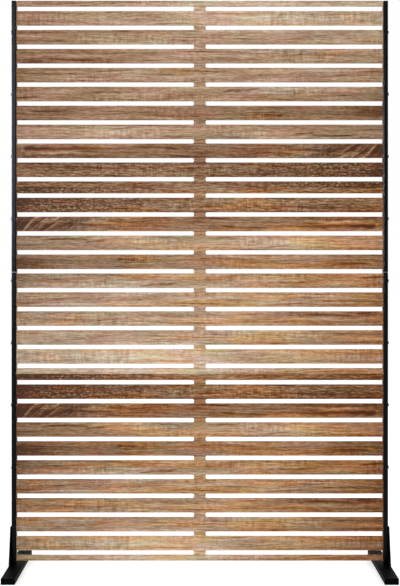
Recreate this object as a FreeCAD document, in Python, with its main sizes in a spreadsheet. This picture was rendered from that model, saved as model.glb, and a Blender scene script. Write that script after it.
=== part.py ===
"""Garden privacy screen: three slotted sheet-steel panels between two posts on box-tube feet.

Frame: X runs across the screen, -Y is the front, +Z is up. The origin is on the ground, midway
between the feet. All sizes are millimetres and come from the sheet of dimensions below.
"""
import FreeCAD, Part
import math
import os

import Sketcher
from FreeCAD import Placement, Rotation, Vector

DIMENSIONS = {
    # Slotted panels
    "panel_count": 3,
    "panel_width": 1198,        # outside the two side rims
    "panel_height": 609.6,      # 24 inches
    "panel_depth": 16,          # front sheet to the back edge of the rims
    "panel_sheet": 1.2,         # steel sheet
    "panel_bend": 1.6,          # outside radius of the folded edges
    "panel_notch": 4,           # open corner where two rims meet
    "notch_radius": 0.8,
    "panel_lift": 30,           # ground to the underside of the lowest panel
    "slot_rows": 10,
    "slot_pitch": 61.8,
    "slot_height": 14,
    "slot_radius": 5,           # corners of a slot beside the bridge
    "slot_margin": 1.6,         # square outer end of a slot to the side of the panel
    "bridge_width": 38,         # solid strip up the middle
    # Posts
    "post_gap": 600,            # middle of the screen to the inner face of a post
    "post_width": 15,
    "post_depth": 20,
    "post_wall": 1.5,
    "post_radius": 2.5,
    "bore_radius": 1,           # inside corners of the tubes
    "post_joint": 971.6,        # ground to the joint of the two lengths
    "joint_gap": 1.2,           # bare sleeve showing between the two lengths
    "bolts_below_joint": 5,
    "bolts_above_joint": 4,
    "sleeve_length": 140,
    "sleeve_wall": 1.5,
    "sleeve_radius": 1.4,
    "slip_gap": 0.2,            # clearance of a piece that slides into a tube
    # Feet
    "foot_width": 45,
    "foot_height": 20,
    "foot_length": 400,         # over its two end caps
    "foot_wall": 2,
    "foot_radius": 3,
    "foot_outset": 5.5,         # outer face of the post to the outer side of the foot
    "anchor_spacing": 300,
    "anchor_radius": 4.5,
    "spigot_height": 45,
    # Gusset plates
    "plate_thickness": 4,
    "plate_foot": 94,           # length of its bottom edge
    "plate_top": 20,            # length of its top edge
    "plate_height": 121,
    "plate_corner": 9,
    # End caps
    "cap_thickness": 3,
    "cap_edge": 1.2,
    "plug_length": 14,
    "plug_wall": 2,
    "plug_radius": 1.4,
    # Fasteners
    "bolt_pitch": 203.2,        # 8 inches
    "bolt_first": 101.6,        # underside of a panel to its first bolt
    "bolts_per_rim": 3,
    "bolt_radius": 2.9,
    "bolt_tip": 0.6,            # chamfer at the end of a bolt
    "bolt_length": 27,          # under the dome head
    "bolt_clearance": 3.3,      # radius of the holes in posts and plates
    "head_radius": 5.5,
    "head_height": 3.3,
    "head_round": 2.9,
    "socket_radius": 2.3,       # corner radius of the hexagon key socket
    "socket_depth": 2,
    "flush_radius": 6,          # countersunk heads
    "flush_height": 3.1,
    "flush_length": 31,         # overall, plate to bottom panel
    "spigot_bolt_length": 14,   # overall, plate to spigot
    "spigot_bolt_height": 25,   # top of the foot to the spigot bolt
    "nut_body_radius": 4.4,
    "nut_collar_radius": 6,
    "nut_collar": 0.95,
    "nut_crimp_radius": 5.4,
    "nut_crimp": 3.5,
    "nut_length": 12,
    "nut_bore": 3,
    "nut_hole": 4.5,            # radius of the hole in the rim
}

doc = FreeCAD.newDocument("privacy_screen")


# ---------------------------------------------------------------- sheet of dimensions

def make_sheet():
    sheet = doc.addObject("Spreadsheet::Sheet", "dims")
    for row, (alias, value) in enumerate(DIMENSIONS.items(), start=1):
        sheet.set(f"A{row}", alias)
        sheet.set(f"B{row}", str(value))
        sheet.setAlias(f"B{row}", alias)
    doc.recompute()
    return sheet


dims = make_sheet()


def size(expression):
    """Value in millimetres of an expression such as dims.post_width / 2."""
    value = dims.evalExpression(str(expression))
    return float(getattr(value, "Value", value))


# ---------------------------------------------------------------- helpers for bodies and sketches

def new_body(name):
    body = doc.addObject("PartDesign::Body", name)
    body.Label = name
    return body


def place(piece, x="0", y="0", z="0", axis=Vector(0, 0, 1), angle=0):
    """Turn a piece about an axis and bind its position to the sheet."""
    piece.Placement = Placement(Vector(), Rotation(axis, angle))
    for letter, expression in zip("xyz", (x, y, z)):
        piece.setExpression(f".Placement.Base.{letter}", expression)


def origin_item(body, role):
    return next(item for item in body.Origin.OriginFeatures if item.Role == role)


def new_sketch(body, name, role, offset="0"):
    """Sketch on one of the body's own planes, moved along that plane's normal."""
    sketch = body.newObject("Sketcher::SketchObject", f"{body.Name}_{name}_sketch")
    sketch.AttachmentSupport = [(origin_item(body, role), "")]
    sketch.MapMode = "FlatFace"
    sketch.setExpression(".AttachmentOffset.Base.z", offset)
    return sketch


def constrain(sketch, kind, elements, expression):
    """Add a dimension and bind it to the sheet."""
    number = sketch.addConstraint(Sketcher.Constraint(kind, *elements, size(expression)))
    sketch.setExpression(f"Constraints[{number}]", str(expression))


def rounded_rectangle(sketch, width, height, radius, across="0", up="0"):
    """Closed outline of four lines and four corner arcs, centred on (across, up)."""
    half_width = size(width) / 2
    half_height = size(height) / 2
    corner = size(radius)
    middle = Vector(size(across), size(up), 0)
    # Each side goes from one corner arc to the next, anticlockwise from the bottom side.
    directions = [Vector(1, 0, 0), Vector(0, 1, 0), Vector(-1, 0, 0), Vector(0, -1, 0)]
    reaches = [(half_height, half_width), (half_width, half_height)] * 2
    first = sketch.GeometryCount
    for side, (direction, (out, along)) in enumerate(zip(directions, reaches)):
        outward = directions[side - 1]
        start = middle + outward * out - direction * (along - corner)
        end = middle + outward * out + direction * (along - corner)
        sketch.addGeometry(Part.LineSegment(start, end))
        centre = end - outward * corner
        turn = math.atan2(outward.y, outward.x)
        circle = Part.Circle(centre, Vector(0, 0, 1), corner)
        sketch.addGeometry(Part.ArcOfCircle(circle, turn, turn + math.pi / 2))
    for step in range(8):
        here = first + step
        following = first + (step + 1) % 8
        sketch.addConstraint(Sketcher.Constraint("Tangent", here, 2, following, 1))
    for step, kind in ((0, "Horizontal"), (2, "Vertical"), (4, "Horizontal"), (6, "Vertical")):
        sketch.addConstraint(Sketcher.Constraint(kind, first + step))
    for arc in (3, 5, 7):
        sketch.addConstraint(Sketcher.Constraint("Equal", first + 1, first + arc))
    constrain(sketch, "Radius", (first + 1,), radius)
    constrain(sketch, "DistanceX", (first + 6, 1, first + 2, 1), width)
    constrain(sketch, "DistanceY", (first, 1, first + 4, 1), height)
    constrain(sketch, "DistanceX", (-1, 1, first + 7, 3), f"{across} - ({width}) / 2 + {radius}")
    constrain(sketch, "DistanceY", (-1, 1, first + 7, 3), f"{up} - ({height}) / 2 + {radius}")


def slot_outline(sketch, side, inner, outer, height, radius, up):
    """Closed outline of a slot right (1) or left (-1) of the middle: round inside, square outside."""
    half = size(height) / 2
    corner = size(radius)
    start = size(inner) + corner

    def at(across, above):
        return Vector(side * across, size(up) + side * above, 0)

    far = size(outer)
    bottom = Part.LineSegment(at(start, -half), at(far, -half))
    outside = Part.LineSegment(at(far, -half), at(far, half))
    top = Part.LineSegment(at(far, half), at(start, half))
    inside = Part.LineSegment(at(start - corner, half - corner), at(start - corner, corner - half))
    turn = 0 if side > 0 else math.pi
    arcs = []
    for above, angle in ((half - corner, math.pi / 2), (corner - half, math.pi)):
        round_corner = Part.Circle(at(start, above), Vector(0, 0, 1), corner)
        arcs.append(Part.ArcOfCircle(round_corner, turn + angle, turn + angle + math.pi / 2))
    first = sketch.GeometryCount
    for piece in (bottom, outside, top, arcs[0], inside, arcs[1]):
        sketch.addGeometry(piece)
    for step in range(6):
        kind = "Coincident" if step in (0, 1) else "Tangent"
        following = first + (step + 1) % 6
        sketch.addConstraint(Sketcher.Constraint(kind, first + step, 2, following, 1))
    for step, kind in ((0, "Horizontal"), (1, "Vertical"), (2, "Horizontal"), (4, "Vertical")):
        sketch.addConstraint(Sketcher.Constraint(kind, first + step))
    sketch.addConstraint(Sketcher.Constraint("Equal", first + 3, first + 5))
    constrain(sketch, "Radius", (first + 3,), radius)
    constrain(sketch, "DistanceX", (-1, 1, first + 1, 1), f"{side} * {outer}")
    constrain(sketch, "DistanceX", (-1, 1, first + 4, 1), f"{side} * {inner}")
    constrain(sketch, "DistanceY", (-1, 1, first, 2), f"{up} - {side} * {height} / 2")
    constrain(sketch, "DistanceY", (-1, 1, first + 2, 1), f"{up} + {side} * {height} / 2")


def circle(sketch, radius, across="0", up="0"):
    middle = Vector(size(across), size(up), 0)
    number = sketch.addGeometry(Part.Circle(middle, Vector(0, 0, 1), size(radius)))
    constrain(sketch, "Radius", (number,), radius)
    constrain(sketch, "DistanceX", (-1, 1, number, 3), across)
    constrain(sketch, "DistanceY", (-1, 1, number, 3), up)


def polygon(sketch, points):
    """Closed outline of straight sides through points given as pairs of expressions."""
    corners = [Vector(size(across), size(up), 0) for across, up in points]
    first = sketch.GeometryCount
    for number, corner in enumerate(corners):
        sketch.addGeometry(Part.LineSegment(corner, corners[(number + 1) % len(corners)]))
    for number, (across, up) in enumerate(points):
        here = first + number
        before = first + (number - 1) % len(corners)
        sketch.addConstraint(Sketcher.Constraint("Coincident", before, 2, here, 1))
        constrain(sketch, "DistanceX", (-1, 1, here, 1), across)
        constrain(sketch, "DistanceY", (-1, 1, here, 1), up)


# ---------------------------------------------------------------- helpers for features

def pad(body, sketch, length, side="One side", backwards=False):
    feature = body.newObject("PartDesign::Pad", f"{sketch.Name}_pad")
    feature.Profile = sketch
    feature.setExpression("Length", length)
    feature.SideType = side
    feature.Reversed = backwards
    doc.recompute()
    return feature


def pocket(body, sketch, length=None, side="One side", backwards=False):
    """Cut a sketch into the body: to a depth, or right through when no length is given."""
    feature = body.newObject("PartDesign::Pocket", f"{sketch.Name}_pocket")
    feature.Profile = sketch
    feature.SideType = side
    feature.Reversed = backwards
    if length is None:
        feature.Type = "ThroughAll"
    else:
        feature.setExpression("Length", length)
    doc.recompute()
    return feature


def repeat(body, feature, direction, pitch, count):
    """Repeat a cut at an even pitch. Direction is one of the body's own axes."""
    pattern = body.newObject("PartDesign::LinearPattern", f"{feature.Name}_pattern")
    pattern.Originals = [feature]
    pattern.Direction = (origin_item(body, direction), [""])
    pattern.setExpression("Length", f"({count} - 1) * {pitch}")
    pattern.setExpression("Occurrences", count)
    body.Tip = pattern
    doc.recompute()
    return pattern


def revolve(body, sketch):
    """Turn a sketch once round its own vertical axis."""
    feature = body.newObject("PartDesign::Revolution", f"{sketch.Name}_turn")
    feature.Profile = sketch
    feature.ReferenceAxis = (sketch, ["V_Axis"])
    feature.Angle = 360
    doc.recompute()
    return feature


def edges_at(feature, test):
    """Names of the edges whose two ends and middle all pass a test on their position."""
    names = []
    for number, edge in enumerate(feature.Shape.Edges, start=1):
        middle = edge.valueAt((edge.FirstParameter + edge.LastParameter) / 2)
        points = [vertex.Point for vertex in edge.Vertexes] + [middle]
        if all(test(point) for point in points):
            names.append(f"Edge{number}")
    return names


def dress(body, kind, base, edges, amount):
    """Fillet or chamfer the named edges of a feature."""
    feature = body.newObject(f"PartDesign::{kind}", f"{base.Name}_{kind.lower()}")
    feature.Base = (base, edges)
    feature.setExpression("Radius" if kind == "Fillet" else "Size", amount)
    doc.recompute()
    return feature


def near(value, target):
    return abs(value - target) < 0.01


# ---------------------------------------------------------------- slotted panels

def make_panel(name, level):
    """Sheet-steel tray with two columns of slots, rims folded back and holes for rivet nuts."""
    body = new_body(name)
    outline = new_sketch(body, "outline", "XZ_Plane")
    polygon(outline, [
        ("-dims.panel_width / 2", "0"),
        ("dims.panel_width / 2", "0"),
        ("dims.panel_width / 2", "dims.panel_height"),
        ("-dims.panel_width / 2", "dims.panel_height"),
    ])
    block = pad(body, outline, "dims.panel_depth", side="Symmetric")

    front = -size("dims.panel_depth / 2")
    bends = edges_at(block, lambda point: near(point.y, front))
    folded = dress(body, "Fillet", block, bends, "dims.panel_bend")

    back_face = next(
        f"Face{number}" for number, face in enumerate(folded.Shape.Faces, start=1)
        if near(face.CenterOfMass.y, -front)
    )
    tray = body.newObject("PartDesign::Thickness", f"{name}_tray")
    tray.Base = (folded, [back_face])
    tray.setExpression("Value", "dims.panel_sheet")
    tray.Reversed = True
    tray.Join = "Arc"
    doc.recompute()

    slots = new_sketch(body, "slots", "XZ_Plane", "dims.panel_depth / 2 + 1")
    first_slot = "((dims.panel_height - (dims.slot_rows - 1) * dims.slot_pitch) / 2)"
    for side in (1, -1):
        slot_outline(slots, side, "(dims.bridge_width / 2)", "(dims.panel_width / 2 - dims.slot_margin)",
                     "dims.slot_height", "dims.slot_radius", first_slot)
    cut = pocket(body, slots, "dims.panel_sheet + 2")
    repeat(body, cut, "Z_Axis", "dims.slot_pitch", "dims.slot_rows")

    holes = new_sketch(body, "holes", "YZ_Plane")
    circle(holes, "dims.nut_hole", "0", "dims.bolt_first")
    drilled = pocket(body, holes, side="Symmetric")
    repeat(body, drilled, "Z_Axis", "dims.bolt_pitch", "dims.bolts_per_rim")

    corners = new_sketch(body, "corners", "XZ_Plane", "dims.panel_depth / 2 - dims.panel_bend")
    for across in (1, -1):
        for up in ("0", "dims.panel_height"):
            middle = f"{across} * dims.panel_width / 2"
            rounded_rectangle(corners, "2 * dims.panel_notch", "2 * dims.panel_notch",
                              "dims.notch_radius", middle, up)
    pocket(body, corners, "dims.panel_depth")

    place(body, z=f"dims.panel_lift + {level} * dims.panel_height")
    return body


# ---------------------------------------------------------------- posts, sleeves and feet

def make_tube(name, width, depth, radius, wall, length):
    """Upright rectangular tube, standing on its own origin."""
    body = new_body(name)
    section = new_sketch(body, "section", "XY_Plane")
    rounded_rectangle(section, width, depth, radius)
    rounded_rectangle(section, f"({width} - 2 * {wall})", f"({depth} - 2 * {wall})", "dims.bore_radius")
    pad(body, section, length)
    return body


def drill(body, name, plane, radius, up, backwards=None):
    """Drill a round hole: through both walls, or through one when backwards is given."""
    sketch = new_sketch(body, name, plane)
    circle(sketch, radius, "0", up)
    if backwards is None:
        return pocket(body, sketch, side="Symmetric")
    return pocket(body, sketch, backwards=backwards)


POST_MIDDLE = "(dims.post_gap + dims.post_width / 2)"
FIRST_BOLT = "(dims.panel_lift + dims.bolt_first)"
SPIGOT_BOLT = "(dims.foot_height + dims.spigot_bolt_height)"
SCREEN_TOP = "(dims.panel_lift + dims.panel_count * dims.panel_height)"

# Everything beside the panels is made for the right-hand side and turned half round for the left.
SIDES = {"right": (1, 0), "left": (-1, 180)}


def make_post(name, bottom, top, bolts_below, bolts):
    """One length of a post, from one height to another, with its row of bolt holes."""
    body = make_tube(name, "dims.post_width", "dims.post_depth", "dims.post_radius", "dims.post_wall",
                     f"{top} - {bottom}")
    height = f"{FIRST_BOLT} + {bolts_below} * dims.bolt_pitch - {bottom}"
    holes = drill(body, "bolt", "YZ_Plane", "dims.bolt_clearance", height)
    repeat(body, holes, "Z_Axis", "dims.bolt_pitch", bolts)
    return body


def make_posts(side, sign, turn):
    across = f"{sign} * {POST_MIDDLE}"
    bottom = "dims.foot_height"
    joint = "dims.post_joint"
    lower = make_post(f"post_lower_{side}", bottom, joint, "0", "dims.bolts_below_joint")
    drill(lower, "spigot_bolt", "YZ_Plane", "dims.bolt_clearance", "dims.spigot_bolt_height", backwards=True)
    place(lower, x=across, z=bottom, angle=turn)

    bottom = f"({joint} + dims.joint_gap)"
    upper = make_post(f"post_upper_{side}", bottom, f"({SCREEN_TOP} - dims.cap_thickness)",
                      "dims.bolts_below_joint", "dims.bolts_above_joint")
    place(upper, x=across, z=bottom, angle=turn)

    inset = "2 * (dims.post_wall + dims.slip_gap)"
    sleeve = make_tube(f"post_sleeve_{side}", f"(dims.post_width - {inset})", f"(dims.post_depth - {inset})",
                       "dims.sleeve_radius", "dims.sleeve_wall", "dims.sleeve_length")
    bottom = "(dims.post_joint - dims.sleeve_length / 2)"
    bolt = f"{FIRST_BOLT} + (dims.bolts_below_joint - 1) * dims.bolt_pitch - {bottom}"
    drill(sleeve, "bolt", "YZ_Plane", "dims.bolt_clearance", bolt)
    place(sleeve, x=across, z=bottom, angle=turn)
    return [lower, upper, sleeve]


def make_cap(name, width, depth, radius, wall):
    """Push-in end cap: a plate that covers the tube's end and a hollow plug inside it."""
    body = new_body(name)
    plate = new_sketch(body, "plate", "XY_Plane")
    rounded_rectangle(plate, width, depth, radius)
    cover = pad(body, plate, "dims.cap_thickness")
    top = size("dims.cap_thickness")
    rim = edges_at(cover, lambda point: near(point.z, top))
    dress(body, "Fillet", cover, rim, "dims.cap_edge")
    inset = f"2 * ({wall} + dims.slip_gap)"
    plug = new_sketch(body, "plug", "XY_Plane")
    rounded_rectangle(plug, f"({width} - {inset})", f"({depth} - {inset})", "dims.plug_radius")
    inset = f"2 * ({wall} + dims.slip_gap + dims.plug_wall)"
    rounded_rectangle(plug, f"({width} - {inset})", f"({depth} - {inset})", "dims.bore_radius")
    pad(body, plug, "dims.plug_length", backwards=True)
    return body


FOOT_MIDDLE = "(dims.post_gap + dims.post_width + dims.foot_outset - dims.foot_width / 2)"


def make_foot(side, sign, turn):
    """Box tube on the ground with its two end caps, and the spigot inside the post."""
    across = f"{sign} * {FOOT_MIDDLE}"
    cut_length = "(dims.foot_length - 2 * dims.cap_thickness)"
    tube = make_tube(f"foot_tube_{side}", "dims.foot_width", "dims.foot_height", "dims.foot_radius",
                     "dims.foot_wall", cut_length)
    middle = f"({cut_length} / 2 - dims.anchor_spacing / 2)"
    anchor = drill(tube, "anchor", "XZ_Plane", "dims.anchor_radius", middle)
    repeat(tube, anchor, "Z_Axis", "dims.anchor_spacing", "2")
    # The tube is drawn standing up, then laid down along Y.
    place(tube, x=across, y=f"{cut_length} / 2", z="dims.foot_height / 2", axis=Vector(1, 0, 0), angle=90)
    pieces = [tube]
    for end, direction in (("front", -1), ("back", 1)):
        cap = make_cap(f"foot_cap_{end}_{side}", "dims.foot_width", "dims.foot_height", "dims.foot_radius",
                       "dims.foot_wall")
        place(cap, x=across, y=f"{direction} * {cut_length} / 2", z="dims.foot_height / 2",
              axis=Vector(1, 0, 0), angle=-90 * direction)
        pieces.append(cap)

    inset = "2 * (dims.post_wall + dims.slip_gap)"
    spigot = new_body(f"foot_spigot_{side}")
    section = new_sketch(spigot, "section", "XY_Plane")
    rounded_rectangle(section, f"(dims.post_width - {inset})", f"(dims.post_depth - {inset})",
                      "dims.sleeve_radius")
    pad(spigot, section, "dims.spigot_height")
    drill(spigot, "bolt", "YZ_Plane", "dims.nut_bore", "dims.spigot_bolt_height")
    place(spigot, x=f"{sign} * {POST_MIDDLE}", z="dims.foot_height", angle=turn)
    return pieces + [spigot]


def make_bracket(side, sign, turn):
    """Gusset plate on the foot, outside the post, with two countersunk holes."""
    body = new_body(f"foot_bracket_{side}")
    outline = new_sketch(body, "outline", "YZ_Plane")
    polygon(outline, [
        ("-dims.plate_foot / 2", "0"),
        ("dims.plate_foot / 2", "0"),
        ("dims.plate_top / 2", "dims.plate_height"),
        ("-dims.plate_top / 2", "dims.plate_height"),
    ])
    plate = pad(body, outline, "dims.plate_thickness")
    top = size("dims.plate_height")
    corners = edges_at(plate, lambda point: near(point.z, top) and abs(point.y) > 1)
    dress(body, "Fillet", plate, corners, "dims.plate_corner")
    drill(body, "bolt", "YZ_Plane", "dims.bolt_clearance", f"{FIRST_BOLT} - dims.foot_height")
    holes = drill(body, "spigot_bolt", "YZ_Plane", "dims.bolt_clearance", "dims.spigot_bolt_height")
    outer = size("dims.plate_thickness")
    reach = size("dims.bolt_clearance") + 0.1

    def on_a_hole(point):
        for height in (size(f"{FIRST_BOLT} - dims.foot_height"), size("dims.spigot_bolt_height")):
            if math.hypot(point.y, point.z - height) < reach:
                return near(point.x, outer)
        return False

    dress(body, "Chamfer", holes, edges_at(holes, on_a_hole), "dims.flush_radius - dims.bolt_clearance + 0.1")
    place(body, x=f"{sign} * (dims.post_gap + dims.post_width)", z="dims.foot_height", angle=turn)
    return body


# ---------------------------------------------------------------- fasteners

def cut_socket(body, depth_from):
    """Hexagon key socket, cut down from the top of a bolt head."""
    sketch = new_sketch(body, "socket", "XY_Plane", depth_from)
    corners = []
    for step in range(6):
        angle = math.radians(60 * step)
        corners.append((f"dims.socket_radius * {math.cos(angle):.6f}",
                        f"dims.socket_radius * {math.sin(angle):.6f}"))
    polygon(sketch, corners)
    pocket(body, sketch, "dims.socket_depth")


def make_dome_bolt(name):
    """Dome-headed bolt: the head sits on z = 0 and the shank points down."""
    body = new_body(name)
    profile = new_sketch(body, "profile", "XZ_Plane")
    polygon(profile, [
        ("0", "-dims.bolt_length"),
        ("dims.bolt_radius - dims.bolt_tip", "-dims.bolt_length"),
        ("dims.bolt_radius", "-dims.bolt_length + dims.bolt_tip"),
        ("dims.bolt_radius", "0"),
        ("dims.head_radius", "0"),
        ("dims.head_radius", "dims.head_height"),
        ("0", "dims.head_height"),
    ])
    turned = revolve(body, profile)
    top = size("dims.head_height")
    rim = size("dims.head_radius")
    dome = edges_at(turned, lambda point: near(point.z, top) and near(math.hypot(point.x, point.y), rim))
    dress(body, "Fillet", turned, dome, "dims.head_round")
    cut_socket(body, "dims.head_height")
    return body


def make_flush_bolt(name, length):
    """Countersunk bolt: the top of the head is at z = 0 and the shank points down."""
    body = new_body(name)
    profile = new_sketch(body, "profile", "XZ_Plane")
    polygon(profile, [
        ("0", f"-{length}"),
        ("dims.bolt_radius - dims.bolt_tip", f"-{length}"),
        ("dims.bolt_radius", f"-{length} + dims.bolt_tip"),
        ("dims.bolt_radius", "-dims.flush_height"),
        ("dims.flush_radius", "0"),
        ("0", "0"),
    ])
    revolve(body, profile)
    cut_socket(body, "0")
    return body


def make_rivet_nut(name):
    """Rivet nut: its collar is above z = 0, the crimp and the threaded body are below."""
    body = new_body(name)
    crimp_top = "-dims.panel_sheet"
    crimp_bottom = f"({crimp_top} - dims.nut_crimp)"
    profile = new_sketch(body, "profile", "XZ_Plane")
    polygon(profile, [
        ("dims.nut_bore", "-dims.nut_length"),
        ("dims.nut_body_radius", "-dims.nut_length"),
        ("dims.nut_body_radius", crimp_bottom),
        ("dims.nut_crimp_radius", f"{crimp_bottom} + 1"),
        ("dims.nut_crimp_radius", crimp_top),
        ("dims.nut_body_radius", crimp_top),
        ("dims.nut_body_radius", "0"),
        ("dims.nut_collar_radius", "0"),
        ("dims.nut_collar_radius", "dims.nut_collar"),
        ("dims.nut_bore", "dims.nut_collar"),
    ])
    revolve(body, profile)
    return body


def copy_of(master, name, x, z, outward):
    """Linked copy of a fastener whose head faces outward along X: 1 is right and -1 is left."""
    link = doc.addObject("App::Link", name)
    link.LinkedObject = master
    place(link, x=x, z=z, axis=Vector(0, 1, 0), angle=90 * outward)
    return link


def make_group(name, members):
    group = doc.addObject("Part::Compound", name)
    group.Label = name
    group.Links = members
    return group


def make_fasteners():
    dome = make_dome_bolt("dome_bolt_pattern")
    nut = make_rivet_nut("rivet_nut_pattern")
    groups = []
    for side, (sign, _) in SIDES.items():
        outside = f"{sign} * (dims.post_gap + dims.post_width)"
        bolts = []
        bolts_per_post = int(size("dims.bolts_below_joint + dims.bolts_above_joint"))
        for number in range(1, bolts_per_post):
            height = f"{FIRST_BOLT} + {number} * dims.bolt_pitch"
            bolts.append(copy_of(dome, f"dome_bolt_{side}_{number}", outside, height, sign))
        groups.append(make_group(f"panel_bolts_{side}", bolts))
        plate_face = f"{sign} * (dims.post_gap + dims.post_width + dims.plate_thickness)"
        flush_bolts = {
            f"bracket_bolt_{side}": ("dims.flush_length", FIRST_BOLT),
            f"spigot_bolt_{side}": ("dims.spigot_bolt_length", SPIGOT_BOLT),
        }
        for name, (length, height) in flush_bolts.items():
            bolt = make_flush_bolt(name, length)
            place(bolt, x=plate_face, z=height, axis=Vector(0, 1, 0), angle=90 * sign)
            groups.append(bolt)
    for level, panel in enumerate(PANELS):
        nuts = []
        for side, (sign, _) in SIDES.items():
            rim = f"{sign} * dims.panel_width / 2"
            for number in range(int(size("dims.bolts_per_rim"))):
                bolt = f"{FIRST_BOLT} + {level} * dims.panel_height + {number} * dims.bolt_pitch"
                nuts.append(copy_of(nut, f"{panel}_nut_{side}_{number}", rim, bolt, sign))
        groups.append(make_group(f"{panel}_rivet_nuts", nuts))
    return groups


# ---------------------------------------------------------------- the whole screen

PANELS = ["panel_bottom", "panel_middle", "panel_top"]


def make_screen():
    pieces = [make_panel(name, level) for level, name in enumerate(PANELS)]
    for side, (sign, turn) in SIDES.items():
        pieces += make_posts(side, sign, turn)
        cap = make_cap(f"post_cap_{side}", "dims.post_width", "dims.post_depth", "dims.post_radius",
                       "dims.post_wall")
        place(cap, x=f"{sign} * {POST_MIDDLE}", z=f"({SCREEN_TOP} - dims.cap_thickness)", angle=turn)
        pieces.append(cap)
        pieces += make_foot(side, sign, turn)
        pieces.append(make_bracket(side, sign, turn))
    return pieces + make_fasteners()


def check_document(pieces):
    for item in doc.Objects:
        if "Invalid" in item.State or "Error" in item.State:
            raise RuntimeError(f"{item.Name} failed: {item.State}")
        if item.TypeId == "PartDesign::Pocket":
            removed = item.BaseFeature.Shape.Volume - item.Shape.Volume
            if removed < 1:
                raise RuntimeError(f"{item.Name} cuts nothing")
    for piece in pieces:
        if piece.Shape.isNull() or not piece.Shape.isValid():
            raise RuntimeError(f"{piece.Name} has no valid shape")


def export(pieces):
    os.makedirs("parts", exist_ok=True)
    for piece in pieces:
        box = piece.Shape.BoundBox
        solids = len(piece.Shape.Solids)
        print(f"{piece.Label:28s} {solids:2d} solids  x {box.XMin:8.1f} {box.XMax:8.1f}"
              f"  y {box.YMin:7.1f} {box.YMax:7.1f}  z {box.ZMin:7.1f} {box.ZMax:7.1f}")
        piece.Shape.exportStep(f"parts/{piece.Label}.step")


screen = make_screen()
doc.recompute()
check_document(screen)
export(screen)
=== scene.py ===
# %% [markdown]
# # A garden privacy screen in printed steel
#
# The real screen is three slotted steel trays, stacked and bolted between two black posts on
# box-tube feet. Its shape is sheet metal, already true in the model that is loaded here as the
# frame. What is left for Blender is the finish: a wood print on powder coat, a textured black
# coat, moulded plastic caps, plated bolts and the welds. So this lesson is mostly about materials.

# %% Load the frame
import math

import bmesh
import bpy
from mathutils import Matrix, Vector, noise


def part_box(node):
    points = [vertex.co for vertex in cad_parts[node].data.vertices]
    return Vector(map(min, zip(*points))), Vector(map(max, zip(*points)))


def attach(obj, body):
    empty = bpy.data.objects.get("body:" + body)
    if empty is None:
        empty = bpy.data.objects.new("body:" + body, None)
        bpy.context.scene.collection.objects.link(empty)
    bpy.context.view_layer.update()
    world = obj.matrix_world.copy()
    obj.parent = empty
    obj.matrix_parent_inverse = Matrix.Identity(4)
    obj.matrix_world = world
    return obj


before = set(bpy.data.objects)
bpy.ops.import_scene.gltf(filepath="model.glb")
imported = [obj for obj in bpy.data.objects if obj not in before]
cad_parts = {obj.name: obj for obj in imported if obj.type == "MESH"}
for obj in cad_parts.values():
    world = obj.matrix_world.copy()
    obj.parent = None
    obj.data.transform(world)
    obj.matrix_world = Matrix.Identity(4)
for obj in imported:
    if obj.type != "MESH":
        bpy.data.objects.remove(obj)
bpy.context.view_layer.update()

# %% [markdown]
# ## Helpers for every material
#
# Paint makers give colours as sRGB hex values, but a shader computes in linear light. One function
# does that conversion, so that each colour below can be read and changed as a hex value. Another
# adds one node with its settings and its links, whatever kind of node it is. That keeps each
# material a plain list of steps, where a step can be handed straight to the next one.

# %% Colour, node and material helpers
MM = 0.001


def linear(hex_colour):
    """Linear RGBA of an sRGB colour such as "c9a57b"."""
    channels = [int(hex_colour[i:i + 2], 16) / 255 for i in (0, 2, 4)]
    return [c / 12.92 if c <= 0.04045 else ((c + 0.055) / 1.055) ** 2.4 for c in channels] + [1.0]


def add(tree, kind, inputs=(), stops=(), **settings):
    """Add one node, set its properties, and link or set its inputs. Returns the node.

    Inputs are named in a dictionary, or listed in the order of the node's sockets. A node that is
    given as an input is linked by its first output. Stops fill a colour ramp, as pairs of position
    and linear colour.
    """
    made = tree.nodes.new(f"ShaderNode{kind}")
    for name, value in settings.items():
        setattr(made, name, value)
    if stops:
        elements = made.color_ramp.elements
        elements.remove(elements[1])
        elements[0].position, elements[0].color = stops[0]
        for position, colour in stops[1:]:
            elements.new(position).color = colour
    for key, value in inputs.items() if isinstance(inputs, dict) else enumerate(inputs):
        if isinstance(value, bpy.types.Node):
            value = value.outputs[0]
        if isinstance(value, bpy.types.NodeSocket):
            tree.links.new(value, made.inputs[key])
        else:
            made.inputs[key].default_value = value
    return made


def new_material(name):
    """An empty node material. Returns the material and its node tree."""
    material = bpy.data.materials.new(name)
    material.use_nodes = True
    material.node_tree.nodes.clear()
    return material, material.node_tree


def dress(slot, material, names):
    """Put a material on the model's own nodes."""
    for name in names:
        node_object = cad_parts[name]
        node_object.data.materials.clear()
        node_object.data.materials.append(material)
    print(f"{material.name} ({slot}): {len(names)} nodes")


print("the brown 9e7a5b in linear light:", [round(channel, 3) for channel in linear("9e7a5b")[:3]])

# %% [markdown]
# ## The wood print
#
# The panels are steel, coated with a tan polyester powder, then printed by heat transfer from a
# film. The film shows old oak: wide growth bands, long fibres, dark pores, and the marks of a
# frame saw across them. All three panels carry the same print, and the top one is mounted upside
# down, which is why its dark corner is at the other end.
#
# A photograph wrapped on the mesh would be the quick way. A procedural print stays sharp close up
# and needs no UVs, so each layer of the wood is built here from noise that is stretched along the
# grain. The print runs in panel coordinates: u along the panel and v up it, both in metres.

# %% Panels and their coordinates
# Each panel takes the print a little differently: its tone in the middle; how fast that falls
# towards both ends, which is painted shade, as the ends get less light; how orange it is; and how
# that grows to the right, partly a painted warm tint of the light from the right
PRINT_AND_SHADE = {
    "panel_bottom": {"tone": -0.04, "ends": -0.80, "orange": 0.08, "slope": -0.01},
    "panel_middle": {"tone": 0.0, "ends": -0.58, "orange": 0.02, "slope": 0.14},
    "panel_top": {"tone": -0.06, "ends": -0.40, "orange": -0.12, "slope": -0.12},
}
TURNED_PANEL = "panel_top"


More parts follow.
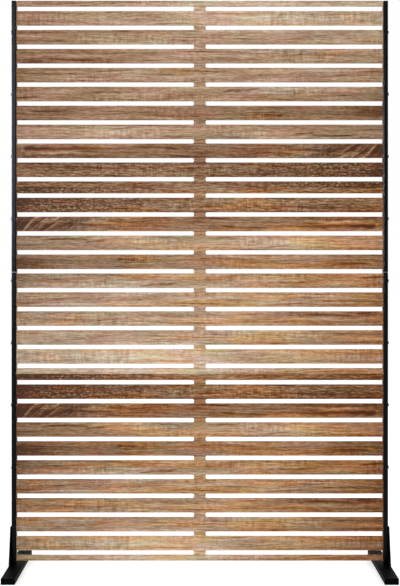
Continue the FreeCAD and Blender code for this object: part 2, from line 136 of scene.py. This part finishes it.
def print_coordinates(tree, panel):
    """Sockets u and v: metres from the middle of this panel's print."""
    low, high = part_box(panel)
    middle = [(a + b) / 2 for a, b in zip(low, high)]
    turn = math.pi if panel == TURNED_PANEL else 0.0
    place = add(tree, "TexCoord").outputs["Object"]
    centred = add(tree, "VectorMath", [place, (middle[0], 0.0, middle[2])], operation="SUBTRACT")
    laid = add(tree, "VectorRotate", {"Vector": centred, "Angle": turn}, rotation_type="Y_AXIS")
    split = add(tree, "SeparateXYZ", [laid])
    return split.outputs["X"], split.outputs["Z"]


# %% [markdown]
# Every layer of the print is drawn with one of three tools. Grain is noise in long flat cells. A
# hill is a soft round patch, for figure that belongs to one place. A soft step turns a number into
# a share from 0 to 1, and is a Map Range node with the setting below.

# %% Tools that draw the layers
SOFT_STEP = {"interpolation_type": "SMOOTHSTEP"}


def grain(tree, u, v, length, height, seed, detail=2.0):
    """Noise round 0 in cells of length by height millimetres. Each seed is other noise."""
    place = add(tree, "CombineXYZ", [
        add(tree, "Math", [u, length * MM], operation="DIVIDE"),
        add(tree, "Math", [v, height * MM], operation="DIVIDE"),
        seed,
    ])
    cells = add(tree, "TexNoise", {"Vector": place, "Scale": 1.0, "Detail": detail})
    return add(tree, "Math", [cells, 0.5], operation="SUBTRACT")


def hill(tree, u, v, centre, reach):
    """A soft hill of height 1 round a point of the print. Centre and reach are in metres."""
    squares = []
    for value, middle, width in zip((u, v), centre, reach):
        away = add(tree, "Math", [value, middle], operation="SUBTRACT")
        away = add(tree, "Math", [away, width], operation="DIVIDE")
        squares.append(add(tree, "Math", [away, away], operation="MULTIPLY"))
    square = add(tree, "Math", squares, operation="ADD")
    below = add(tree, "Math", [square, -1.0], operation="MULTIPLY")
    return add(tree, "Math", [below], operation="EXPONENT")


# %% [markdown]
# ## Bent grain
#
# The grain of a tree isn't straight. Noise bends the height of every point before the fibres are
# drawn, so that streaks rise and fall by about a centimetre along the panel. In the dark band, left
# of the middle, the grain is curly too: there it also moves in short waves.

# %% Bend the grain
def bend_grain(tree, u, v):
    """The height that the grain follows at each point, and how curly it is there, from 0 to 1."""
    wander = grain(tree, u, v, length=260, height=90, seed=3.1)
    bent = add(tree, "Math", [wander, 24 * MM, v], operation="MULTIPLY_ADD")
    finer = grain(tree, u, v, length=90, height=40, seed=6.6)
    bent = add(tree, "Math", [finer, 4 * MM, bent], operation="MULTIPLY_ADD")

    leftward = add(tree, "MapRange", {"Value": u, "From Min": 0.0, "From Max": -0.40}, **SOFT_STEP)
    upward = add(tree, "MapRange", {"Value": v, "From Min": 0.17, "From Max": 0.23}, **SOFT_STEP)
    curly = add(tree, "Math", [leftward, upward], operation="MULTIPLY")
    waves = grain(tree, u, v, length=22, height=12, seed=9.2)
    waves = add(tree, "Math", [waves, curly], operation="MULTIPLY")
    return add(tree, "Math", [waves, 12 * MM, bent], operation="MULTIPLY_ADD"), curly


# %% [markdown]
# ## Layers of tone
#
# Tone is one number from 0, dark, to 1, pale. It starts from the growth band at that height, and
# each layer adds its own light or dark to it. Only at the end does the tone become a colour.
# Working on one number first makes each layer easy to judge alone.
#
# The bands come from a colour ramp of greys over the height of the panel. Its ends get less light
# than its middle, and two of its corners are darker than the other two.

# %% Growth bands
# From the bottom edge of the print to its top edge, one for about every 61 mm of height
BAND_TONES = [0.76, 0.77, 0.72, 0.65, 0.67, 0.67, 0.49, 0.71, 0.45, 0.41, 0.41]
CORNER_TONE = 0.7    # times u times v
PATCH_TONE = 0.34    # broad patches, each about a third of a metre long


def growth_bands(tree, u, v, bent, panel_height, print_and_shade):
    """The tone of the growth bands, with each panel's own tone and painted shade at its ends."""
    level = add(tree, "Math", [bent, panel_height], operation="DIVIDE")
    level = add(tree, "Math", [level, 0.5], operation="ADD")
    steps = len(BAND_TONES) - 1
    bands = add(tree, "ValToRGB", [level], stops=[
        (number / steps, [tone, tone, tone, 1.0]) for number, tone in enumerate(BAND_TONES)
    ])
    tone = add(tree, "Math", [bands, print_and_shade["tone"]], operation="ADD")
    # Painted shade: the tone falls towards both ends of the panel, where less light reaches it
    ends = add(tree, "Math", [u, u], operation="MULTIPLY")
    tone = add(tree, "Math", [ends, print_and_shade["ends"], tone], operation="MULTIPLY_ADD")
    corners = add(tree, "Math", [u, v], operation="MULTIPLY")
    tone = add(tree, "Math", [corners, CORNER_TONE, tone], operation="MULTIPLY_ADD")
    patches = grain(tree, u, bent, length=330, height=42, seed=7.7)
    return add(tree, "Math", [patches, PATCH_TONE, tone], operation="MULTIPLY_ADD")


print("growth bands:", len(BAND_TONES) - 1)

# %% [markdown]
# Fibres are the same noise at four sizes, laid over each other, from wide streaks to threads. The
# flecks and threads are stronger in the dark band at the top. Late wood, which a tree grows at the
# end of its summer, is denser and browner. It shows as dark lines where a long noise is lowest.
# Where the grain is curly it also glints, in light and dark dots.

# %% Fibres, late wood and curls
FIBRES = [
    {"length": 260, "height": 9.0, "tone": 0.46, "seed": 1.3},    # wide streaks
    {"length": 120, "height": 4.8, "tone": 0.50, "seed": 5.3},    # what the eye sees from a few metres
    {"length": 19, "height": 3.6, "tone": 0.58, "seed": 9.3},     # flecks
    {"length": 12, "height": 1.1, "tone": 0.18, "seed": 13.3},    # threads
]
LONGEST_FLECK = 60   # millimetres
FLECK_GAIN = 0.7     # how much stronger flecks are in the dark band
LATE_WOOD_TONE = -0.24
LATE_WOOD_ORANGE = 0.10
GLINT_TONE = 0.9


def lay_fibres(tree, u, v, bent, tone):
    """The tone with the fibres on it."""
    dark_band = add(tree, "MapRange", {"Value": v, "From Min": 0.19, "From Max": 0.24}, **SOFT_STEP)
    gain = add(tree, "Math", [dark_band, FLECK_GAIN, 1.0], operation="MULTIPLY_ADD")
    for size in FIBRES:
        fibres = grain(tree, u, bent, size["length"], size["height"], size["seed"])
        fibres = add(tree, "Math", [fibres, size["tone"]], operation="MULTIPLY")
        if size["length"] < LONGEST_FLECK:
            fibres = add(tree, "Math", [fibres, gain], operation="MULTIPLY")
        tone = add(tree, "Math", [tone, fibres], operation="ADD")
    return tone


def late_wood(tree, u, bent):
    """Lines of late wood, as a share from 0 to 1."""
    lines = grain(tree, u, bent, length=150, height=8, seed=12.4, detail=3.0)
    return add(tree, "MapRange", {"Value": lines, "From Min": -0.10, "From Max": -0.20}, **SOFT_STEP)


def curl_glints(tree, u, v, curly, tone):
    """The tone with dots of some 6 mm where the grain is curly."""
    dots = grain(tree, u, v, length=9, height=6, seed=14.0, detail=1.0)
    dots = add(tree, "Math", [dots, curly], operation="MULTIPLY")
    return add(tree, "Math", [dots, GLINT_TONE, tone], operation="MULTIPLY_ADD")


print("fibre sizes:", len(FIBRES))

# %% [markdown]
# A frame saw leaves upright lines about 8 mm apart, one for each stroke. Planing takes most of them
# away, so they show in patches, and the clearest and palest patch is near the bottom left corner.
# Pores are the open tubes of the wood, dark hairlines half a millimetre high. They are seen only
# from close by.

# %% Saw marks and pores
SAW_TONE = 0.38
PALE_PATCH = {"centre": (-0.30, -0.245), "reach": (0.085, 0.026)}
PALE_PATCH_TONE = 0.05
PALE_PATCH_SAWN = 0.3    # how much more of it is sawn
PORE_TONE = -0.18


def saw_marks(tree, u, v, tone):
    """The tone with the marks of the frame saw."""
    strokes = grain(tree, u, v, length=6.5, height=40, seed=4.4, detail=1.0)
    pale = hill(tree, u, v, **PALE_PATCH)
    sawn = grain(tree, u, v, length=240, height=55, seed=21.0)
    sawn = add(tree, "Math", [pale, PALE_PATCH_SAWN, sawn], operation="MULTIPLY_ADD")
    sawn = add(tree, "MapRange", {"Value": sawn, "From Min": -0.04, "From Max": 0.10}, **SOFT_STEP)
    marks = add(tree, "Math", [strokes, sawn], operation="MULTIPLY")
    tone = add(tree, "Math", [marks, SAW_TONE, tone], operation="MULTIPLY_ADD")
    return add(tree, "Math", [pale, PALE_PATCH_TONE, tone], operation="MULTIPLY_ADD")


def open_pores(tree, u, bent, tone):
    """The tone with dark pores."""
    pores = grain(tree, u, bent, length=10, height=0.5, seed=63.0, detail=1.0)
    pores = add(tree, "MapRange", {"Value": pores, "From Min": -0.10, "From Max": -0.20}, **SOFT_STEP)
    return add(tree, "Math", [pores, PORE_TONE, tone], operation="MULTIPLY_ADD")


# %% [markdown]
# Two figures belong to one place of the print, and both lie in its second band from the top. At
# the left end is a crotch, where a branch left the trunk: its streaks start steeply at the edge of
# the panel and bend over to the right. At the right end is a knot, with two long pointed eyes
# before it. A swept height bends the streaks of the crotch, and hills make the rest.

# %% Crotch and knot
CROTCH = {"centre": (-0.53, 0.186), "reach": (0.17, 0.028)}
CROTCH_TONE = -0.04
FEATHER_TONE = 2.6
# A streak of the crotch falls to the height v = c - SWEEP_HEIGHT exp(-(u + SWEEP_START) / SWEEP_LENGTH)
SWEEP_START = 0.6    # metres from the middle of the panel to its left end
SWEEP_HEIGHT = 0.16
SWEEP_LENGTH = 0.13

# Centre and reach in metres, then the change of tone and how much more orange the wood is
SPOTS = [
    ((0.38, 0.178), (0.065, 0.007), -0.20, 0.60),    # long pointed eye
    ((0.51, 0.178), (0.055, 0.007), -0.24, 0.60),    # the next one, darker
    ((0.555, 0.173), (0.016, 0.008), -0.36, 0.40),   # the knot itself
    ((0.46, 0.192), (0.10, 0.005), 0.30, 0.0),       # pale wood that arches over the eyes
    ((0.578, 0.181), (0.006, 0.008), 0.22, -0.10),   # pale fork past the knot
    ((-0.34, 0.189), (0.13, 0.028), 0.11, 0.26),     # warm wood where the crotch ends
    ((-0.26, 0.132), (0.20, 0.024), 0.08, -0.03),    # pale wood below that
]


def crotch_figure(tree, u, v, bent, tone):
    """The tone with the feather of the crotch."""
    fall = add(tree, "Math", [u, SWEEP_START], operation="ADD")
    fall = add(tree, "Math", [fall, -SWEEP_LENGTH], operation="DIVIDE")
    fall = add(tree, "Math", [fall], operation="EXPONENT")
    swept = add(tree, "Math", [fall, SWEEP_HEIGHT, bent], operation="MULTIPLY_ADD")
    feather = grain(tree, u, swept, length=110, height=17, seed=17.0, detail=3.0)
    feather = add(tree, "Math", [feather, FEATHER_TONE], operation="MULTIPLY")
    crotch = hill(tree, u, v, **CROTCH)
    tone = add(tree, "Math", [feather, crotch, tone], operation="MULTIPLY_ADD")
    return add(tree, "Math", [crotch, CROTCH_TONE, tone], operation="MULTIPLY_ADD")


print("spots of their own:", len(SPOTS))

# %% [markdown]
# Now the layers go on in order. A smooth maximum at the end is a soft floor, so that the darkest
# wood keeps its figure where several dark layers meet.

# %% Tone of the print
DARKEST_TONE = 0.03
FLOOR_SOFTNESS = 0.16


def print_tone(tree, u, v, panel_height, print_and_shade):
    """The tone of the print, the bent height that its grain follows, and its late wood."""
    bent, curly = bend_grain(tree, u, v)
    tone = growth_bands(tree, u, v, bent, panel_height, print_and_shade)
    tone = lay_fibres(tree, u, v, bent, tone)
    late = late_wood(tree, u, bent)
    tone = add(tree, "Math", [late, LATE_WOOD_TONE, tone], operation="MULTIPLY_ADD")
    tone = curl_glints(tree, u, v, curly, tone)
    tone = saw_marks(tree, u, v, tone)
    tone = crotch_figure(tree, u, v, bent, tone)
    for centre, reach, depth, _ in SPOTS:
        spot = hill(tree, u, bent, centre, reach)
        tone = add(tree, "Math", [spot, depth, tone], operation="MULTIPLY_ADD")
    tone = open_pores(tree, u, bent, tone)
    tone = add(tree, "Math", [tone, DARKEST_TONE, FLOOR_SOFTNESS], operation="SMOOTH_MAX")
    return tone, bent, late


# %% [markdown]
# ## Colour of the print
#
# Oak is brown, more orange in some streaks and greyer in others. So the tone is turned into three
# colours, one for each kind of wood, and two soft noises say where each kind shows. The orange one
# grows towards the right end of the print, partly as a painted warm tint of the light from the
# right, and the grey one towards the left. Last come faint patches, a little redder or greener, as
# heartwood and sapwood are.

# %% Colours of oak
# From dark pores to sunlit early wood; the stops are even steps of lightness
OAK_TONES = ["3d1a06", "724a29", "9e7a5b", "c8a98d", "ebdac8"]
ORANGE_TONES = ["421a02", "7b471c", "ad794a", "d5ac7c", "efd8b5"]
GREY_TONES = ["3a1f0b", "6d4d32", "957b62", "bda990", "e5dacb"]
GREY_SLOPE = -0.20      # for each metre to the right
GREYEST = 0.75          # the largest share of grey wood

# Multipliers of red, green and blue in the patches
REDDER = [1.03, 0.955, 1.01, 1.0]
GREENER = [0.97, 1.045, 0.97, 1.0]

# A Mix node has sockets for every type of value. These are the numbers of its colour sockets.
COLOUR_A, COLOUR_B, MIXED_COLOUR = 6, 7, 2


def print_colour(tree, u, tone, bent, late, print_and_shade):
    """The colour of the print, as a socket."""
    brown, orange, grey = [
        add(tree, "ValToRGB", [tone], stops=[
            (number / (len(colours) - 1), linear(colour)) for number, colour in enumerate(colours)
        ])
        for colours in (OAK_TONES, ORANGE_TONES, GREY_TONES)
    ]
    streaks = grain(tree, u, bent, length=280, height=30, seed=31.0)
    # The slope is partly the print and partly a painted warm tint of the light from the right
    warm = add(tree, "Math", [u, print_and_shade["slope"], streaks], operation="MULTIPLY_ADD")
    warm = add(tree, "Math", [warm, print_and_shade["orange"]], operation="ADD")
    warm = add(tree, "Math", [late, LATE_WOOD_ORANGE, warm], operation="MULTIPLY_ADD")
    for centre, reach, _, warmth in SPOTS:
        spot = hill(tree, u, bent, centre, reach)
        warm = add(tree, "Math", [spot, warmth, warm], operation="MULTIPLY_ADD")
    warm = add(tree, "MapRange", {"Value": warm, "From Min": -0.05, "From Max": 0.18}, **SOFT_STEP)
    colour = add(tree, "Mix", {"Factor": warm, COLOUR_A: brown, COLOUR_B: orange}, data_type="RGBA")
    colour = colour.outputs[MIXED_COLOUR]

    streaks = grain(tree, u, bent, length=160, height=26, seed=44.0)
    cool = add(tree, "Math", [u, GREY_SLOPE, streaks], operation="MULTIPLY_ADD")
    cool = add(tree, "MapRange", {"Value": cool, "From Min": 0.0, "From Max": 0.18}, **SOFT_STEP)
    cool = add(tree, "Math", [cool, GREYEST], operation="MULTIPLY")
    colour = add(tree, "Mix", {"Factor": cool, COLOUR_A: colour, COLOUR_B: grey}, data_type="RGBA")
    colour = colour.outputs[MIXED_COLOUR]

    patches = grain(tree, u, bent, length=210, height=40, seed=57.0)
    patches = add(tree, "MapRange", {"Value": patches, "From Min": -0.16, "From Max": 0.16}, **SOFT_STEP)
    patches = add(tree, "ValToRGB", [patches], stops=[(0.0, REDDER), (1.0, GREENER)])
    colour = add(tree, "Mix", {"Factor": 1.0, COLOUR_A: colour, COLOUR_B: patches},
                 data_type="RGBA", blend_type="MULTIPLY")
    return colour.outputs[MIXED_COLOUR]


print("tones of each kind of wood:", len(OAK_TONES), len(ORANGE_TONES), len(GREY_TONES))

# %% [markdown]
# ## Coat of the print
#
# Under the print is polyester powder coat, which cures with a faint orange-peel ripple about 2 mm
# wide. The print raises its pale wood a little above its dark lines. A matt polyester coat has an
# IOR of about 1.5 and a roughness near 0.6. Its reflectance is set lower here, because the real
# panels show no sheen from the front.

# %% Dress the panels
PEEL_SIZE = 2.2              # millimetres
PEEL_DEPTH = 0.10 * MM
PRINT_RELIEF = 0.5           # height of the pale wood, as a share of the ripple's


def wood_print(panel, print_and_shade):
    """Heat-transfer wood print on matt polyester powder coat, for one panel."""
    material, tree = new_material(f"oak_print_powder_coat_{panel.split('_')[1]}")
    u, v = print_coordinates(tree, panel)
    low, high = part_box(panel)
    tone, bent, late = print_tone(tree, u, v, high[2] - low[2], print_and_shade)
    colour = print_colour(tree, u, tone, bent, late, print_and_shade)
    peel = grain(tree, u, v, PEEL_SIZE, PEEL_SIZE, seed=50.0, detail=1.0)
    relief = add(tree, "Math", [tone, PRINT_RELIEF, peel], operation="MULTIPLY_ADD")
    bump = add(tree, "Bump", {"Height": relief, "Strength": 0.25, "Distance": PEEL_DEPTH})
    coat = add(tree, "BsdfPrincipled", {
        "Base Color": colour, "Roughness": 0.6, "Specular IOR Level": 0.12, "Normal": bump,
    })
    add(tree, "OutputMaterial", {"Surface": coat})
    return material


for panel_name, print_and_shade in PRINT_AND_SHADE.items():
    dress("wood_print", wood_print(panel_name, print_and_shade), [panel_name])

# %% [markdown]
# ## Black powder coat
#
# The posts, feet and gusset plates have a textured black powder coat. The powder flows into a skin
# of tiny grains that breaks up reflections, so the metal looks dark grey where light rakes it and
# nearly black elsewhere. The posts have the finer and glossier coat of the two. Such a coat has an
# IOR of about 1.5 and a roughness near 0.4. Both coats were matched to the real black from there:
# the posts came out glossier and the feet rougher, and both reflect much less.
#
# Rolled tube has rounded corners, which catch the light along their whole length. They could be
# rounded in the mesh. The Bevel node does the same to the shading alone, and the model keeps its
# edges.

# %% Coat the posts and feet
SIDES = ("left", "right")
GRAIN_SIZE = 0.9 * MM     # really about 0.4 mm; drawn coarser so that it shows
GRAIN_DEPTH = 0.12 * MM
DUST_SIZE = 60 * MM       # faint clouds, where the coat took a little more or less dust
UNEVEN_GLOSS = 0.03


def black_powder_coat(name, corner_radius, roughness, reflectance, relief):
    """Textured polyester powder coat on steel with rounded corners."""
    material, tree = new_material(name)
    place = add(tree, "TexCoord").outputs["Object"]
    grains = add(tree, "TexNoise", {"Vector": place, "Scale": 1 / GRAIN_SIZE, "Detail": 2.0})
    dust = add(tree, "TexNoise", {"Vector": place, "Scale": 1 / DUST_SIZE, "Detail": 4.0})
    tint = add(tree, "ValToRGB", [dust], stops=[(0.35, linear("020202")), (0.75, linear("060607"))])
    shine = add(tree, "MapRange", {
        "Value": dust, "From Min": 0.3, "From Max": 0.7,
        "To Min": roughness - UNEVEN_GLOSS, "To Max": roughness + UNEVEN_GLOSS,
    })
    corner = add(tree, "Bevel", {"Radius": corner_radius})
    bump = add(tree, "Bump", {
        "Height": grains, "Strength": relief, "Distance": GRAIN_DEPTH, "Normal": corner,
    })
    coat = add(tree, "BsdfPrincipled", {
        "Base Color": tint, "Roughness": shine, "Specular IOR Level": reflectance, "Normal": bump,
    })
    add(tree, "OutputMaterial", {"Surface": coat})
    return material


fine_coat = black_powder_coat(
    "black_fine_texture_powder_coat",
    corner_radius=4 * MM, roughness=0.24, reflectance=0.07, relief=0.08,
)
posts = [f"{piece}_{side}" for side in SIDES for piece in ("post_lower", "post_upper")]
dress("black_coat", fine_coat, posts)

coarse_coat = black_powder_coat(
    "black_coarse_texture_powder_coat",
    corner_radius=2.5 * MM, roughness=0.50, reflectance=0.010, relief=0.20,
)
feet = [f"{piece}_{side}" for side in SIDES for piece in ("foot_tube", "foot_bracket", "foot_spigot")]
dress("black_coat", coarse_coat, feet)

# %% [markdown]
# ## Moulded plastic
#
# The caps of the posts and feet are injection-moulded polypropylene, coloured black all through.
# The mould was spark-eroded, which leaves a field of tiny pits. A Voronoi pattern has that look:
# each cell is one pit. Polypropylene has an IOR of 1.49, and a grained surface is fairly rough, so
# the caps look duller than the posts. Noise could draw the pits too, but it has no round cells.

# %% Cap the tubes
PIT_SIZE = 0.8 * MM       # really about 0.1 mm; drawn coarser so that it shows
PIT_DEPTH = 0.06 * MM
CLOUD_SIZE = 15 * MM      # the mould fills a little unevenly


def moulded_plastic():
    """Injection-moulded black polypropylene with a light spark-eroded grain."""
    material, tree = new_material("black_moulded_polypropylene")
    place = add(tree, "TexCoord").outputs["Object"]
    pits = add(tree, "TexVoronoi", {"Vector": place, "Scale": 1 / PIT_SIZE})
    bump = add(tree, "Bump", {"Height": pits, "Strength": 0.2, "Distance": PIT_DEPTH})
    clouds = add(tree, "TexNoise", {"Vector": place, "Scale": 1 / CLOUD_SIZE, "Detail": 3.0})
    tint = add(tree, "ValToRGB", [clouds], stops=[(0.3, linear("020202")), (0.8, linear("040405"))])
    plastic = add(tree, "BsdfPrincipled", {
        "Base Color": tint, "Roughness": 0.55, "IOR": 1.49, "Specular IOR Level": 0.02, "Normal": bump,
    })
    add(tree, "OutputMaterial", {"Surface": plastic})
    return material


caps = [f"post_cap_{side}" for side in SIDES]
caps += [f"foot_cap_{end}_{side}" for end in ("front", "back") for side in SIDES]
dress("black_plastic", moulded_plastic(), caps)

# %% [markdown]
# ## Plated steel
#
# The bolts are zinc-plated and passivated black, and the sleeves and rivet nuts inside are bright
# zinc. Both are plated in a turning barrel, where the pieces knock against each other, so their
# gloss is cloudy. Plated zinc is a metal with a roughness of about 0.4.

# %% Plate the bolts, sleeves and nuts
MARK_SIZE = 4 * MM


def plated_steel(name, dark, light, roughness):
    """Barrel-plated steel: a cloudy metal between two colours."""
    material, tree = new_material(name)
    place = add(tree, "TexCoord").outputs["Object"]
    clouds = add(tree, "TexNoise", {
        "Vector": place, "Scale": 1 / MARK_SIZE, "Detail": 5.0, "Roughness": 0.7,
    })
    tint = add(tree, "ValToRGB", [clouds], stops=[(0.3, linear(dark)), (0.7, linear(light))])
    shine = add(tree, "MapRange", {
        "Value": clouds, "From Min": 0.3, "From Max": 0.7,
        "To Min": roughness - 0.06, "To Max": roughness + 0.08,
    })
    metal = add(tree, "BsdfPrincipled", {"Base Color": tint, "Metallic": 1.0, "Roughness": shine})
    add(tree, "OutputMaterial", {"Surface": metal})
    return material


black_zinc = plated_steel("black_zinc_plated_steel", dark="3a3c40", light="5a5d62", roughness=0.36)
bolts = [f"{piece}_{side}" for side in SIDES for piece in ("panel_bolts", "bracket_bolt", "spigot_bolt")]
dress("black_bolts", black_zinc, bolts)

bright_zinc = plated_steel("bright_zinc_plated_steel", dark="6c6f74", light="95989d", roughness=0.40)
inner = [f"post_sleeve_{side}" for side in SIDES] + [f"{panel}_rivet_nuts" for panel in PRINT_AND_SHADE]
dress("zinc_steel", bright_zinc, inner)

# %% [markdown]
# ## Weld beads
#
# Each gusset plate is welded to its foot before coating. A hand-laid bead is a row of overlapping
# ripples, about 4 mm wide, and the coat only softens it. A bevelled curve would be too even, so
# the bead is swept as a mesh whose radius swells at each ripple, and noise makes the ripples
# uneven. It sits in the corner between the plate and the foot.

# %% Sweep one bead
BEAD_RADIUS = 2.4 * MM
RIPPLE = 3.2 * MM        # length of one ripple
RINGS_PER_RIPPLE = 5
AROUND = 14              # points round a ring


def bead_radius(along, length, seed):
    """The radius of a bead at a share of its length: ripples, chance, and rounded ends."""
    wave = abs(math.sin(math.pi * along * length / RIPPLE))
    uneven = noise.noise(Vector((along * length / RIPPLE, seed, 0.0)))
    taper = min(1.0, 8 * along + 0.25, 8 * (1 - along) + 0.25)
    return BEAD_RADIUS * (0.82 + 0.16 * wave + 0.14 * uneven) * taper


def weld_bead(name, start, end, seed):
    """A rippled bead from start to end along Y."""
    mesh = bmesh.new()
    length = (end - start).length
    rings = int(length / (RIPPLE / RINGS_PER_RIPPLE))
    rows = []
    for ring in range(rings + 1):
        along = ring / rings
        centre = start.lerp(end, along)
        radius = bead_radius(along, length, seed)
        rows.append([
            mesh.verts.new(centre + Vector((math.cos(a) * radius, 0.0, math.sin(a) * radius)))
            for a in (2 * math.pi * k / AROUND for k in range(AROUND))
        ])
    for row, following in zip(rows, rows[1:]):
        for k in range(AROUND):
            n = (k + 1) % AROUND
            mesh.faces.new((row[k], row[n], following[n], following[k]))
    mesh.faces.new(reversed(rows[0]))
    mesh.faces.new(rows[-1])
    bmesh.ops.recalc_face_normals(mesh, faces=mesh.faces)
    data = bpy.data.meshes.new(name)
    mesh.to_mesh(data)
    mesh.free()
    data.shade_smooth()
    data.materials.append(coarse_coat)
    bead = bpy.data.objects.new(name, data)
    bpy.context.scene.collection.objects.link(bead)
    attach(bead, "root")
    return bead


# %% [markdown]
# Each plate has two beads on its inner face, one in front of the post and one behind it. Their ends
# are measured from the boxes of the plate and the post, so the beads stay in place if the model
# changes. They get the coat of the feet, which covers weld and plate in one skin.

# %% Lay the four beads
BEAD_OFFSET = 0.8 * MM   # middle of a bead, out from the inner face of the plate
BEAD_LIFT = 0.6 * MM     # middle of a bead above the foot
BEAD_GAP = 3 * MM        # from the post, and from the end of the plate

beads = []
for side, sign in (("left", -1), ("right", 1)):
    plate_low, plate_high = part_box(f"foot_bracket_{side}")
    post_low, post_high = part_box(f"post_lower_{side}")
    inner_face = plate_low[0] if sign > 0 else plate_high[0]
    x = inner_face - sign * BEAD_OFFSET
    z = plate_low[2] + BEAD_LIFT
    for end, near_y, far_y in (
        ("front", post_low[1] - BEAD_GAP, plate_low[1] + BEAD_GAP),
        ("back", post_high[1] + BEAD_GAP, plate_high[1] - BEAD_GAP),
    ):
        start, finish = Vector((x, near_y, z)), Vector((x, far_y, z))
        beads.append(weld_bead(f"weld_{end}_{side}", start, finish, seed=len(beads)))
print("weld beads:", len(beads))

# %% [markdown]
# ## Floor, light and camera
#
# The photograph is a catalogue cut-out: the screen stands square to the camera on pure white, with
# soft light from the upper left. A real studio gets that white by lighting the backdrop more than
# the product. Here the Light Path node does it: the floor glows only for rays from the camera and
# from reflections, so it looks white but doesn't light the screen from below. It is still a matt
# surface, so it keeps the shadow of the screen.

# %% White floor
FLOOR_SIZE = 60          # metres
FLOOR_WHITE = (0.86, 0.86, 0.86, 1.0)
FLOOR_GLOW = 0.52        # what the light on the floor lacks of full white
WHITE = (1.0, 1.0, 1.0, 1.0)


def seen_rays(tree):
    """1 for a ray from the camera, from a reflection or through glass, and 0 for any other."""
    rays = add(tree, "LightPath").outputs
    seen = add(tree, "Math", [rays["Is Camera Ray"], rays["Is Glossy Ray"]], operation="MAXIMUM")
    return add(tree, "Math", [seen, rays["Is Transmission Ray"]], operation="MAXIMUM")


def white_floor():
    """Matt white board that glows a little, but only where it is seen."""
    material, tree = new_material("white_studio_floor")
    matt = add(tree, "BsdfPrincipled", {"Base Color": FLOOR_WHITE, "Roughness": 0.9})
    glow = add(tree, "Emission", {"Color": WHITE, "Strength": FLOOR_GLOW})
    dark = add(tree, "Emission", {"Strength": 0.0})
    lift = add(tree, "MixShader", [seen_rays(tree), dark, glow])
    add(tree, "OutputMaterial", {"Surface": add(tree, "AddShader", [matt, lift])})
    return material


bpy.ops.mesh.primitive_plane_add(size=FLOOR_SIZE)
floor = bpy.context.object
floor.name = "floor"
floor.data.materials.append(white_floor())
print(f"floor {FLOOR_SIZE} m wide")

# %% [markdown]
# The world is the backdrop. The same rays see it at full white, and every other ray gets about half
# of that. At full strength it would light the screen flat and bright, and would wash out the
# colours of the print.

# %% White world
AMBIENT = 0.55           # strength of the world's light on the screen

world = bpy.data.worlds.new("white_studio")
world.use_nodes = True
bpy.context.scene.world = world
sky = world.node_tree
sky.nodes.clear()
backdrop = add(sky, "Background", {"Color": WHITE, "Strength": 1.0})
ambient = add(sky, "Background", {"Color": WHITE, "Strength": AMBIENT})
blend = add(sky, "MixShader", [seen_rays(sky), ambient, backdrop])
add(sky, "OutputWorld", {"Surface": blend})
print("world:", AMBIENT, "on the screen, 1.0 where it is seen")

# %% [markdown]
# Two soft boxes light the front, as in a product studio. The left one is narrow, tall and a little
# cool, and the right one is wide and a little warm. One more box lights the back. The box at the
# far left only draws a highlight down the outer edge of the left post, so it is switched off for
# diffuse light. Point lamps would be simpler, but their shadows in the slots would be hard.

# %% Lamps
def softbox(name, place, target, width, height, power, tint="ffffff"):
    """A rectangular soft light aimed at a point. Power is in watts."""
    data = bpy.data.lights.new(name, "AREA")
    data.shape = "RECTANGLE"
    data.size = width
    data.size_y = height
    data.energy = power
    data.color = linear(tint)[:3]
    lamp = bpy.data.objects.new(name, data)
    lamp.location = place
    lamp.rotation_euler = (Vector(target) - Vector(place)).to_track_quat("-Z", "Y").to_euler()
    bpy.context.scene.collection.objects.link(lamp)
    return lamp


softbox("key_left", place=(-1.5, -4.4, 1.9), target=(-0.4, 0, 1.2),
        width=0.5, height=1.6, power=64, tint="eef4ff")
softbox("fill_right", place=(3.2, -4.0, 2.6), target=(0, 0, 1.0),
        width=2.4, height=2.4, power=46, tint="fff6ea")
softbox("back_right", place=(3.4, 3.2, 2.3), target=(0.2, 0, 0.9),
        width=2.0, height=2.0, power=60)
edge_lamp = softbox("edge_left", place=(-3.6, -0.35, 1.6), target=(-0.6, 0, 1.5),
                    width=0.8, height=1.2, power=1100, tint="cfdfff")
edge_lamp.visible_diffuse = False
print("lamps:", len(bpy.data.lights))

# %% [markdown]
# The camera is level and square to the screen. Its distance comes from the feet: their front ends
# look 4.9 per cent larger than the panels, so the camera is about 4.1 m away, at a height of about
# 1 m. The lens follows from the size of the panels in the picture. The view is shifted down a
# little, which puts the screen in the middle of the picture. Tilting the camera would do that too,
# but the posts would then lean.

# %% Camera
IMAGE_WIDTH = 400               # pixels
IMAGE_HEIGHT = 586              # pixels
METRES_PER_PIXEL = 3.2657 * MM  # at the front of the panels
HORIZON_ROW = 260               # pixel row at the height of the camera
GROUND_ROW = 569.9              # pixel row of the ground below the panels' front
MIDDLE_COLUMN = 199.8           # pixel column of the middle of the screen
CAMERA_DISTANCE = 4.12          # metres to the front of the panels
SENSOR = 36.0                   # millimetres, along the picture's height

panel_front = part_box("panel_middle")[0][1]
camera_data = bpy.data.cameras.new("camera")
camera_data.sensor_width = SENSOR
camera_data.lens = CAMERA_DISTANCE / METRES_PER_PIXEL * SENSOR / IMAGE_HEIGHT
camera_data.shift_x = (IMAGE_WIDTH / 2 - MIDDLE_COLUMN) / IMAGE_HEIGHT
camera_data.shift_y = (HORIZON_ROW - IMAGE_HEIGHT / 2) / IMAGE_HEIGHT
camera = bpy.data.objects.new("camera", camera_data)
camera.location = (0.0, panel_front - CAMERA_DISTANCE, (GROUND_ROW - HORIZON_ROW) * METRES_PER_PIXEL)
camera.rotation_euler = (math.pi / 2, 0.0, 0.0)
bpy.context.scene.collection.objects.link(camera)
bpy.context.scene.camera = camera
bpy.context.scene.view_settings.view_transform = "Standard"
print(f"camera {CAMERA_DISTANCE} m away at {camera.location.z:.3f} m, lens {camera_data.lens:.1f} mm")
